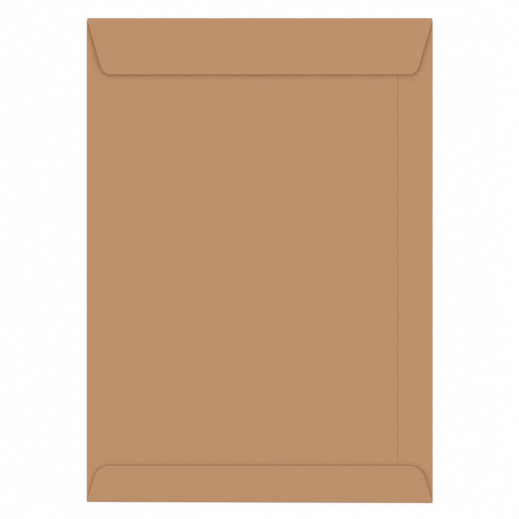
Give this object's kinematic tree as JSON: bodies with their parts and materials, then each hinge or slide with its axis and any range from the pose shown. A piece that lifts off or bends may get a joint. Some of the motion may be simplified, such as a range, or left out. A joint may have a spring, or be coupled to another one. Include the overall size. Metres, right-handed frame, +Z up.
{
  "type": "paper envelope",
  "caption": "Flat kraft paper pocket envelope seen from its back, with an overlapped side seam, a glued bottom flap and an unsealed closing flap.",
  "frame": {"origin": "centre of the underside, which is the outer face of the front panel, midway between the folds", "axes": "+Y from the bottom fold to the top fold with the closing flap, +X to the side fold beside the seam, +Z up out of the back"},
  "size_m": [0.25, 0.35, 0.0024],
  "materials": {
    "kraft_paper": "uncoated brown kraft, matt with fine fibres"
  },
  "bodies": {
    "root": {"envelope": "kraft_paper"}
  },
  "joints": []
}
